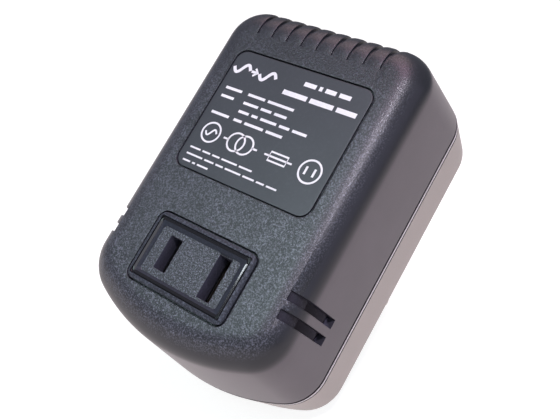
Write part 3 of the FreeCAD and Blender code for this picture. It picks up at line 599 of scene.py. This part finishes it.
# The bead gets a paler, glossier copy with a stronger sheen: a painted highlight.
# The seam and the fine line get a near-black copy of the cover's plastic: painted shade.
give_materials(cover_piece, [
    plastic("cover_abs", (0.05, 0.047, 0.048), (0.42, 0.34, 0.4), relief=0.012, painted_glints=0.25, pits=2200.0,
            painted_sheen=(0.435, 0.4, 0.35)),
    plastic("cover_bead_painted_highlight", (0.06, 0.057, 0.058), (0.3, 0.25, 0.3), relief=0.004, painted_glints=0.1, pits=2200.0,
            painted_sheen=(0.68, 0.655, 0.65)),
    plastic("cover_seam_painted_shade", (0.02, 0.018, 0.02), (0.6, 0.5, 0.6), relief=0.012, painted_glints=0.2, pits=2200.0)],
    bead_painted_highlight + 2 * seam_painted_shade)


# Outlet insert: black moulded tray let into the front. A rounded frame with a crease inside its rim, sloped
# polished walls down to a flat floor with one shorter and one longer slot, and a flange behind the shell
# that keeps it from falling out.
outlet_top, outlet_floor, outlet_back, flange_front = -57.1, -56.4, -52.8, -54.3
frame_width, frame_height, frame_corner, flange, flange_corner = 26.1, 15.4, 1.8, 1.3, 3.1
rim_width, crown, rim_end, crease_end, fillet_end = 0.85, 0.5, 0.93, 1.2, 1.82
floor_width, floor_height, floor_corner, floor_x, floor_z = 20.7, 10.3, 0.8, -0.3, outlet_z - 0.15
slot_width, slot_corner, slot_sizes = 3.2, 0.08, [(-6.35, 7.45), (6.35, 9.45)]


def slot_loops(*grow_and_y):
    """For each slot its sharp-cornered outline, once for each pair of its growth and its depth y."""
    return [[rounded_loop(slot_width + 2 * grow, length + 2 * grow, slot_corner + grow, y, outlet_z, x,
                          steps=2) for grow, y in grow_and_y] for x, length in slot_sizes]


def frame_loop(draw, drop):
    """The frame's outline drawn in by draw, at the given drop below its rim."""
    return rounded_loop(frame_width - 2 * draw, frame_height - 2 * draw,
                        max(frame_corner - 0.6 * draw, 0.3), outlet_top + drop, outlet_z)


def floor_loop(grow, fall):
    """The floor's outline grown all round by grow, at the given fall below the floor."""
    return rounded_loop(floor_width + 2 * grow, floor_height + 2 * grow, floor_corner, outlet_floor + fall,
                        floor_z, floor_x)


# The rim falls with the square of the distance from its crest, the fillet a little faster than a straight
# slope.
tray_rows = [rounded_loop(frame_width + 2 * flange, frame_height + 2 * flange, flange_corner, y, outlet_z)
             for y in (outlet_back, flange_front)]
tray_rows.append(rounded_loop(frame_width, frame_height, frame_corner, flange_front, outlet_z))
tray_rows += [frame_loop(draw, crown * (1 - draw / rim_width) ** 2)
              for draw in (0.0, 0.04, 0.12, 0.24, 0.38, 0.54, 0.7, rim_width)]
tray_rows += [frame_loop(draw, drop)
              for draw, drop in ((0.9, 0.0), (0.94, 0.03), (0.98, 0.2), (1.16, 0.2), (crease_end, 0.05))]
tray_rows += [frame_loop(1.24 + t, 0.04 + 0.35 * t + 0.014 * t * t) for t in np.linspace(0, 0.56, 5)]
tray_rows += [floor_loop(grow, fall) for grow, fall in ((0.05, -0.06), (0.0, 0.0), (-0.1, 0.0))]
slot_walls = slot_loops((0.3, outlet_floor), (0.12, outlet_floor), (0.03, outlet_floor + 0.03),
                        (0.0, outlet_floor + 0.12), (0.0, outlet_back))
outlet_piece = make_piece("outlet_tray", [
    sweep(tray_rows), flat_fill([tray_rows[-1]] + [loops[0] for loops in slot_walls]),
    flat_fill([tray_rows[0]] + [loops[-1] for loops in slot_walls])]
    + [sweep(loops) for loops in slot_walls])
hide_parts("outlet_insert")
fx, fy, fz = polygon_centres(outlet_piece)
from_edge = np.minimum(frame_width / 2 - np.abs(fx), frame_height / 2 - np.abs(fz - outlet_z))
on_floor = ((np.abs(fx - floor_x) < floor_width / 2) & (np.abs(fz - floor_z) < floor_height / 2)
            & (fy < outlet_floor + 0.1))
fillet = (from_edge > crease_end) & (from_edge < fillet_end)
inner_wall = (from_edge >= fillet_end) & ~on_floor & (fy < outlet_floor)
slot_painted_light = on_floor & (fy > outlet_floor + 0.02) | (fy > outlet_floor + 0.2) & (from_edge > 1.9)
on_rim = (from_edge <= rim_end) & (fy < front_y + 0.5)
crease_painted_shade = (from_edge > rim_end) & (from_edge <= crease_end) & (fy < front_y + 0.5)
# The slots' walls get a paler copy of the black plastic: painted light. The crease inside the rim gets a
# near-black copy: painted shade. The grain's pale specks are painted glints.
give_materials(outlet_piece, [
    plastic("insert_abs", (0.0155, 0.0168, 0.0206), (0.36, 0.17, 0.3), relief=0.11, painted_glints=12.0,
            pits=3300.0),
    plastic("insert_polished", (0.012, 0.012, 0.014), (0.09, 0.08, 0.1), relief=0.0005, painted_glints=0.0,
            pits=1500.0),
    plastic("insert_wall", (0.024, 0.029, 0.039), (0.5, 0.4, 0.5), relief=0.02, painted_glints=0.4, specular=0.15),
    plastic("insert_slot_painted_light", (0.06, 0.062, 0.085), (0.5, 0.4, 0.5), relief=0.02, painted_glints=0.4),
    plastic("insert_rim", (0.03, 0.035, 0.044), (0.55, 0.45, 0.5), relief=0.03, painted_glints=2.5, pits=2500.0,
            specular=0.2),
    plastic("insert_crease_painted_shade", (0.005, 0.005, 0.007), (0.6, 0.55, 0.6), relief=0.01, painted_glints=0.3, pits=2500.0,
            specular=0.1)],
    fillet + 2 * inner_wall + 3 * slot_painted_light + 4 * on_rim + 5 * crease_painted_shade)


# Rating plate: thin stiff plastic plate stuck into the recess of the front, smooth slate grey.
plate_width, plate_height, plate_corner, plate_soft = 35.2, 29.3, 2.5, 0.08
plate_front, plate_back = -56.35, -56.0
plate_edge = [(draw, plate_front + fall) for fall, draw in quarter(plate_soft, steps=4)[::-1]]
plate_rows = [rounded_loop(plate_width - 2 * draw, plate_height - 2 * draw, plate_corner, y, plate_z)
              for draw, y in [(0.0, plate_back)] + plate_edge + [(0.3, plate_front)]]
plate_piece = make_piece("blank_plate", [
    sweep(plate_rows), flat_fill([plate_rows[0]]), flat_fill([plate_rows[-1]])])
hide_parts("rating_plate")
give_materials(plate_piece, [
    plastic("plate_vinyl", (0.038, 0.042, 0.05), (0.4, 0.36, 0.4), relief=0.003, painted_glints=0.12,
            pits=1800.0)])


# Print on the plate: white screen ink in one thin coat. Rows of plain bars, two waves with an arrow between
# them, and simple circuit signs for the parts inside: a source of alternating current, a transformer, a
# fuse and a socket.
ink_top = plate_front - 0.012
wave_z, sign_z, sign_line, blade_line = 22.4, 6.4, 0.42, 0.5


def ribbon(points, width, closed=False):
    """Flat strip of ink along a path in the plate's plane, half the width to each side, ends square."""
    path = np.asarray(points, float)
    ahead = np.roll(path, -1, 0) - np.roll(path, 1, 0) if closed else np.gradient(path, axis=0)
    side = np.stack([-ahead[:, 1], ahead[:, 0]], -1) / np.linalg.norm(ahead, axis=1)[:, None] * width / 2
    corners = ((path + side, plate_front), (path + side, ink_top),
               (path - side, ink_top), (path - side, plate_front))
    loops = np.stack([np.stack([xz[:, 0], np.full(len(xz), y), xz[:, 1]], -1) for xz, y in corners], 1)
    if closed:
        return [sweep(np.concatenate([loops, loops[:1]]))]
    return [sweep(loops), (loops[0], [(0, 1, 2, 3)]), (loops[-1], [(0, 1, 2, 3)])]


def ring_path(x, z, radius, steps=36):
    """Points round a circle."""
    angle = np.linspace(0, 2 * math.pi, steps, endpoint=False)
    return np.stack([x + radius * np.cos(angle), z + radius * np.sin(angle)], -1)


def wave_path(x, z, length, height, steps=18):
    """Points along one period of a sine, centred on x, z."""
    t = np.linspace(-0.5, 0.5, steps)
    return np.stack([x + length * t, z + height * np.sin(2 * math.pi * t)], -1)


def sign_path(*points):
    """Points given by x and their height over the signs' own line."""
    return [(x, sign_z + rise) for x, rise in points]


# Each row of bars: its height, the bars' thickness, and where each bar starts and ends.
bar_rows = [
    (23.5, 1.0, [(1.6, 4.6), (5.4, 6.2), (7.0, 9.6), (10.4, 13.2)]),
    (20.4, 1.1, [(-2.2, 4.0), (4.8, 10.6), (11.4, 16.2)]),
    (17.2, 0.62, [(-15.9, -11.4), (-9.6, -5.0), (-4.2, 2.6)]),
    (15.1, 0.62, [(-15.9, -12.4), (-9.6, -5.6), (-4.8, -2.0), (-1.2, 2.0)]),
    (13.0, 0.62, [(-9.6, -6.8), (-6.0, -4.4), (-3.6, 0.6), (1.4, 4.0), (4.8, 8.4)]),
    (10.9, 0.62, [(-15.9, -11.0), (-9.6, -7.4), (-6.6, -1.6), (-0.8, 3.4)]),
    (1.9, 0.4, [(-15.9, -13.0), (-12.4, -10.2), (-9.6, -7.6), (-7.0, -2.8), (-2.2, 1.2)]),
    (0.3, 0.4, [(-15.9, -11.4), (-10.8, -8.2), (-7.6, -5.6), (-5.0, -0.8), (-0.2, 2.8), (3.4, 5.4),
                (6.0, 8.6)]),
    (-1.3, 0.4, [(-15.9, -13.8), (-13.2, -12.4), (-11.8, -8.8)])]
strokes = [([(start, z), (end, z)], thick) for z, thick, bars in bar_rows for start, end in bars]
strokes += [(wave_path(x, wave_z, 4.4, 1.15), 0.75) for x in (-14.6, -7.6)]
strokes += [
    ([(-12.0, wave_z), (-10.6, wave_z)], 0.6),
    ([(-11.3, wave_z + 0.9), (-10.3, wave_z), (-11.3, wave_z - 0.9)], 0.5),
    (ring_path(-13.0, sign_z, 2.3), sign_line, True),
    (wave_path(-13.0, sign_z, 2.9, 0.8), sign_line),
    (sign_path((-9.4, 0), (-8.1, 0)), sign_line), (sign_path((-1.6, 0), (-0.3, 0)), sign_line),
    (ring_path(-6.0, sign_z, 2.1), sign_line, True),
    (ring_path(-3.7, sign_z, 2.1), sign_line, True),
    (sign_path((1.7, 0), (8.7, 0)), sign_line),
    (sign_path((3.0, 1.0), (7.4, 1.0), (7.4, -1.0), (3.0, -1.0)), sign_line, True),
    (ring_path(13.2, sign_z, 2.5), sign_line, True),
    (sign_path((12.2, -0.9), (12.2, 0.9)), blade_line),
    (sign_path((14.2, -0.9), (14.2, 0.9)), blade_line)]
print_piece = make_piece("plate_print", [sheet for stroke in strokes for sheet in ribbon(*stroke)])
give_materials(print_piece, [
    plastic("white_ink", (0.74, 0.75, 0.76), (0.5, 0.45, 0.5), relief=0.002, painted_glints=0.08, pits=2400.0)])


# Outlet contacts and rear cap: two folded brass clips behind the slots, held by a nylon cap that two small
# steel screws fix to the front shell.
def wear_group():
    """Node group for a handled surface: colour between two, roughness between two, and a fine height.

    A broad noise mixes the two colours, a fine noise stretched along one axis gives roughness and height.
    """
    group, given, result = node_group("surface_wear", ("Colour", "Other colour"), (
        "Broad scale", "Fine scale", "Rough low", "Rough high"), ("Stretch",))
    place = add_node(group, "TexCoord", {}).outputs["Object"]
    drawn = add_node(group, "VectorMath", {0: place, 1: given["Stretch"]}, operation="MULTIPLY").outputs[0]
    broad = add_node(group, "TexNoise", {"Vector": place, "Scale": given["Broad scale"]}).outputs["Fac"]
    fine = add_node(group, "TexNoise", {
        "Vector": drawn, "Scale": given["Fine scale"], "Detail": 3.0}).outputs["Fac"]
    share = remap(group, broad, noise_low, noise_high)
    rough = remap(group, fine, noise_low, noise_high, given["Rough low"], given["Rough high"])
    group.links.new(mix_colour(group, share, given["Colour"], given["Other colour"]), result["Colour"])
    group.links.new(rough, result["Roughness"])
    group.links.new(fine, result["Height"])
    return group


surface_wear = wear_group()


def finish(name, colour, other, metallic=0.0, rough=(0.3, 0.5), broad=120.0, fine=1500.0, stretch=(1, 1, 1),
           relief=0.004):
    """Material from the wear group with its own two colours, gloss, scales and relief."""
    values = {"Colour": (*colour, 1), "Other colour": (*other, 1), "Broad scale": broad, "Fine scale": fine,
              "Stretch": stretch, "Rough low": rough[0], "Rough high": rough[1]}
    return grouped_material(name, surface_wear, values, relief, metallic)


def dress(names, material):
    """Gives carried-over nodes one material in place of their own."""
    for name in names:
        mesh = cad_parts[name].data
        mesh.materials.clear()
        mesh.materials.append(material)


# The brass clips get a colour far darker than brass: painted shade inside the slots.
dress(["contact_narrow", "contact_wide"],
      finish("contact_brass", (0.075, 0.064, 0.045), (0.05, 0.042, 0.03), metallic=1.0, rough=(0.34, 0.5),
             broad=300.0, fine=2500.0, stretch=(1, 1, 8), relief=0.003))
dress(["outlet_rear_cap"], finish("cap_nylon", (0.2, 0.2, 0.205), (0.17, 0.17, 0.175), rough=(0.42, 0.55),
                                  broad=150.0, fine=1400.0))
screw_zinc = finish("screw_zinc", (0.55, 0.55, 0.56), (0.4, 0.4, 0.41), metallic=1.0, rough=(0.25, 0.42),
                    broad=500.0, fine=3000.0)
dress(["outlet_screws"], screw_zinc)


# Plug pins: turned brass, nickel plated, a round tip each and a shoulder behind the boss's end wall, with a
# black insulating sleeve moulded on the root half. A plate inside the boss traps the shoulders.
pin_r, pin_length, pin_core_r, pin_tip_r, pin_steps = 2.0, 19.0, 1.5, 1.5, 48
shoulder_r, shoulder_y, tail_r, tail_end, axis_r = 3.2, -4.5, 1.25, -10.5, 0.001
sleeve_length, sleeve_r, sleeve_play = 10.0, 1.8, 0.01
pin_material = finish("pin_nickel", (0.66, 0.65, 0.62), (0.56, 0.55, 0.52), metallic=1.0, rough=(0.2, 0.3),
                      broad=200.0, fine=900.0, stretch=(1, 12, 1), relief=0.001)
sleeve_material = plastic("sleeve_pvc", (0.022, 0.022, 0.024), (0.4, 0.34, 0.38), relief=0.004,
                          painted_glints=0.2, pits=1800.0)
pin_profile = [(axis_r, tail_end), (tail_r, tail_end), (tail_r, shoulder_y), (shoulder_r, shoulder_y),
               (shoulder_r, -boss_end), (pin_core_r, -boss_end), (pin_core_r, sleeve_length),
               (pin_r - 0.1, sleeve_length), (pin_r, sleeve_length + 0.1)]
pin_profile += [(pin_r - narrower, pin_length - short) for narrower, short in quarter(pin_tip_r, steps=9)]
pin_profile.append((axis_r, pin_length))
sleeve_bore = pin_core_r + sleeve_play
sleeve_root, sleeve_tip = sleeve_play - boss_end, sleeve_length - sleeve_play
sleeve_profile = [(sleeve_bore, sleeve_root), (sleeve_r, sleeve_root), (sleeve_r, sleeve_length - 0.25),
                  (sleeve_r - 0.08, sleeve_length - 0.06), (sleeve_r - 0.2, sleeve_tip),
                  (sleeve_bore, sleeve_tip), (sleeve_bore, sleeve_root)]
for side, sx in (("left", -1), ("right", 1)):
    for kind, profile, material, slot in (("plug_pin", pin_profile, pin_material, "pin_metal"),
                                          ("pin_sleeve", sleeve_profile, sleeve_material, "sleeve_black")):
        turned_piece = make_piece("turned_" + kind + "_" + side, [turned(profile, sx * pin_x, 0, pin_steps)])
        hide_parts(kind + "_" + side)
        give_materials(turned_piece, [material])
dress(["pin_retainer"],
      finish("retainer_nylon", (0.07, 0.07, 0.072), (0.06, 0.06, 0.062), rough=(0.4, 0.55)))


# Transformer: iron laminations stacked across the depth of the case, a nylon coil former with two chambers,
# the two enamelled copper windings in them, each under a wrap of yellow polyester tape.
dress(["core_e_stack", "core_i_stack"],
      finish("lamination_iron", (0.22, 0.215, 0.21), (0.13, 0.12, 0.115), metallic=1.0, rough=(0.35, 0.6),
             broad=180.0, fine=2000.0, stretch=(0.3, 6, 0.3), relief=0.06))
dress(["bobbin"], finish("bobbin_nylon", (0.62, 0.6, 0.55), (0.56, 0.54, 0.49), rough=(0.38, 0.5),
                         broad=130.0, fine=1200.0))
dress(["series_winding", "common_winding"],
      finish("enamelled_copper", (0.42, 0.14, 0.05), (0.3, 0.09, 0.03), metallic=1.0, rough=(0.2, 0.4),
             broad=400.0, fine=1600.0, stretch=(0.2, 0.2, 5), relief=0.05))
dress(["series_tape", "common_tape"],
      finish("polyester_tape", (0.75, 0.58, 0.08), (0.66, 0.5, 0.06), rough=(0.2, 0.34), broad=90.0,
             fine=900.0, stretch=(0.4, 0.4, 2), relief=0.02))


# Fuse and leads: a thermal cut-out in a coated metal body, and five short insulated leads soldered between
# pins, coil and outlet contacts.
dress(["thermal_fuse"],
      finish("fuse_body", (0.66, 0.63, 0.55), (0.55, 0.52, 0.45), rough=(0.3, 0.45), broad=250.0))
for names, name, colour in ((["lead_line", "lead_tap"], "lead_black", (0.03, 0.03, 0.032)),
                            (["lead_neutral", "lead_outlet_neutral"], "lead_blue", (0.04, 0.11, 0.38)),
                            (["lead_fuse"], "lead_red", (0.42, 0.04, 0.03))):
    darker = tuple(0.8 * c for c in colour)
    dress(names, finish(name, colour, darker, rough=(0.34, 0.46), broad=300.0, fine=1800.0))


# Case screws: zinc-plated steel, pan head with a cross recess, one at the bottom of each well of the cover.
dress(["case_screws"], screw_zinc)


# Studio: a pale table on which the converter rests with its lower back edge and its pin tips, as it does
# when it is put down, and seven soft square lamps in a dim room. Two tiny lamps inside the case give the
# little light that falls through its openings.
table_normal = Vector((0, -0.71606, 0.69804))
table_offset, table_reach = -0.01438, 3.0
object_middle, lamp_distance = Vector((0, -0.035, 0)), 0.60
room_light, room_colour, inner_colour, inner_size = 0.24, (0.78, 0.88, 1, 1), (0.85, 0.8, 1.0), 0.001
paper_colour, shadow_colour, mirror_colour = (0.93, 0.87, 0.85, 1), (0.3, 0.3, 0.3, 1), (0.98, 0.9, 0.92, 1)
mirror_light, white_light = 1.06, 0.9

along = Vector((1, 0, 0))
across = table_normal.cross(along)
middle = table_normal * table_offset
table_mesh = bpy.data.meshes.new("table")
table_mesh.from_pydata([middle + sx * table_reach * along + sz * table_reach * across
                        for sx, sz in ((-1, -1), (1, -1), (1, 1), (-1, 1))], [], [(0, 1, 2, 3)])
table = new_object("table", table_mesh)


def seen_directly(tree):
    """The tree's Light Path outputs, and 1 for rays from the camera or through a clear piece, else 0."""
    path = add_node(tree, "LightPath", {}).outputs
    rays = {0: path["Is Camera Ray"], 1: path["Is Transmission Ray"]}
    return path, add_node(tree, "Math", rays, operation="MAXIMUM").outputs[0]


# The table shows the shadow, is pale in glossy surfaces, and lets the light through from below.
paper = bpy.data.materials.new("table_paper")
paper.use_nodes = True
tree = paper.node_tree
tree.nodes.clear()
path, seen = seen_directly(tree)
below = add_node(tree, "NewGeometry", {}).outputs["Backfacing"]
matt = add_node(tree, "BsdfDiffuse", {"Color": paper_colour})
pale = add_node(tree, "BsdfDiffuse", {"Color": shadow_colour})
mirrored = add_node(tree, "Emission", {"Color": mirror_colour, "Strength": mirror_light})
white = add_node(tree, "Emission", {"Strength": white_light})
bright = add_node(tree, "AddShader", {0: pale.outputs[0], 1: white.outputs[0]})
glossy = add_node(tree, "MixShader", {0: path["Is Glossy Ray"], 1: matt.outputs[0], 2: mirrored.outputs[0]})
shown = add_node(tree, "MixShader", {0: seen, 1: glossy.outputs[0], 2: bright.outputs[0]})
through = add_node(tree, "BsdfTransparent", {})
face = add_node(tree, "MixShader", {0: below, 1: shown.outputs[0], 2: through.outputs[0]})
add_node(tree, "OutputMaterial", {"Surface": face.outputs[0]})
table_mesh.materials.append(paper)

world = bpy.data.worlds.new("studio")
scene.world = world
world.use_nodes = True
tree = world.node_tree
tree.nodes.clear()
_, seen = seen_directly(tree)
sky = add_node(tree, "Background", {"Color": mix_colour(tree, seen, room_colour, (1, 1, 1, 1)),
                                    "Strength": remap(tree, seen, 0.0, 1.0, room_light)})
add_node(tree, "OutputWorld", {"Surface": sky.outputs[0]})


def lamp(kind, name, place, power, colour):
    """Light of a kind at a place, its power in watts; returns the light and the object that holds it."""
    light = bpy.data.lights.new(name, kind)
    light.energy = power
    light.color = colour
    holder = new_object(name, light)
    holder.location = place
    return light, holder


# Each soft lamp: the direction it stands in from the object's middle, its size in metres, watts and colour.
for name, towards, size, power, colour in (
        ("lamp_overhead", (0.33, -0.88, 0.32), 0.04, 1.6, (0.93, 0.87, 1.0)),
        ("lamp_window", (-0.33, -0.94, 0.05), 0.20, 0.74, (0.72, 1.0, 0.97)),
        ("lamp_room", (-0.1, -0.98, 0.15), 0.30, 0.5, (0.88, 0.9, 1.0)),
        ("lamp_ceiling", (0.0, -0.75, 0.66), 0.30, 1.05, (1.0, 0.6, 0.84)),
        ("lamp_left", (-0.93, -0.36, 0.048), 0.026, 0.05, (0.85, 0.93, 1.0)),
        ("lamp_wall", (-0.3, -0.4, 0.87), 0.40, 0.85, (1.0, 0.68, 0.66)),
        ("lamp_right", (0.9, -0.3, 0.3), 0.40, 0.32, (0.76, 0.7, 1.0))):
    direction = Vector(towards).normalized()
    light, holder = lamp("AREA", name, object_middle + direction * lamp_distance, power, colour)
    light.shape = "SQUARE"
    light.size = size
    holder.rotation_mode = "QUATERNION"
    holder.rotation_quaternion = (-direction).to_track_quat("-Z", "Y")
for name, place, power in (("lamp_inside", (0.0178, -0.029, -0.0165), 0.003),
                           ("lamp_behind_face", (0.0185, -0.046, -0.0105), 0.01)):
    light, holder = lamp("POINT", name, place, power, inner_colour)
    light.shadow_soft_size = inner_size
    holder.visible_camera = holder.visible_glossy = False
